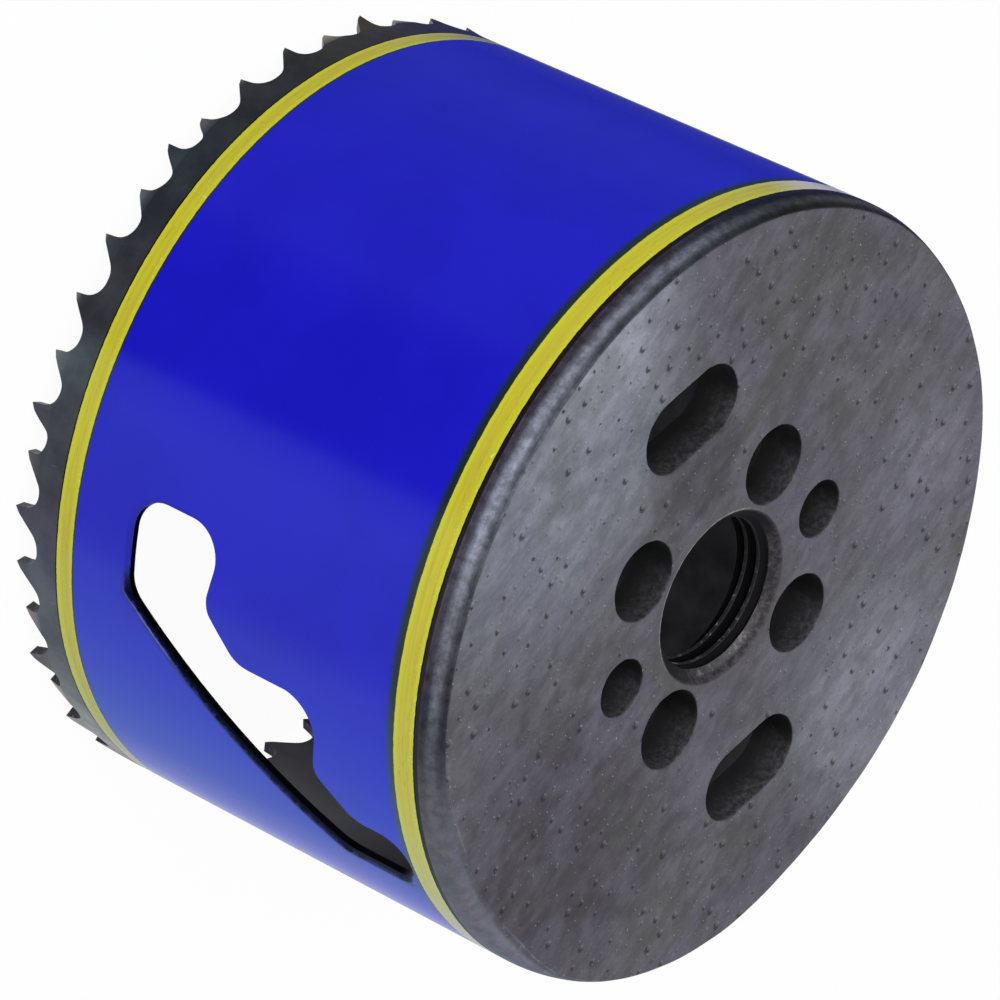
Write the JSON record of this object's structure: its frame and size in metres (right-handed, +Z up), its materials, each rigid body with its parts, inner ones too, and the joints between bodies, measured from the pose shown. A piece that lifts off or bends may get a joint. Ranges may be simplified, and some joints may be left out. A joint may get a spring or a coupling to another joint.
{
  "type": "hole saw",
  "caption": "Round toothed steel cup with stepped side slots, closed by a thick plate with a threaded arbor bore and drive-pin holes.",
  "frame": {"origin": "on the saw's axis, at the plane of the tooth tips that it stands on", "axes": "+Z up the axis towards the arbor side; +X and +Y point at two of the four drive-pin holes"},
  "size_m": [0.0765, 0.0761, 0.052],
  "materials": {
    "bare_steel": "dark, dull rolled steel with small pits",
    "painted_wall": "glossy blue paint with two yellow rings and a bare, dark tooth band"
  },
  "bodies": {
    "root": {"backing_plate": "bare_steel", "toothed_wall": "painted_wall"}
  },
  "joints": []
}
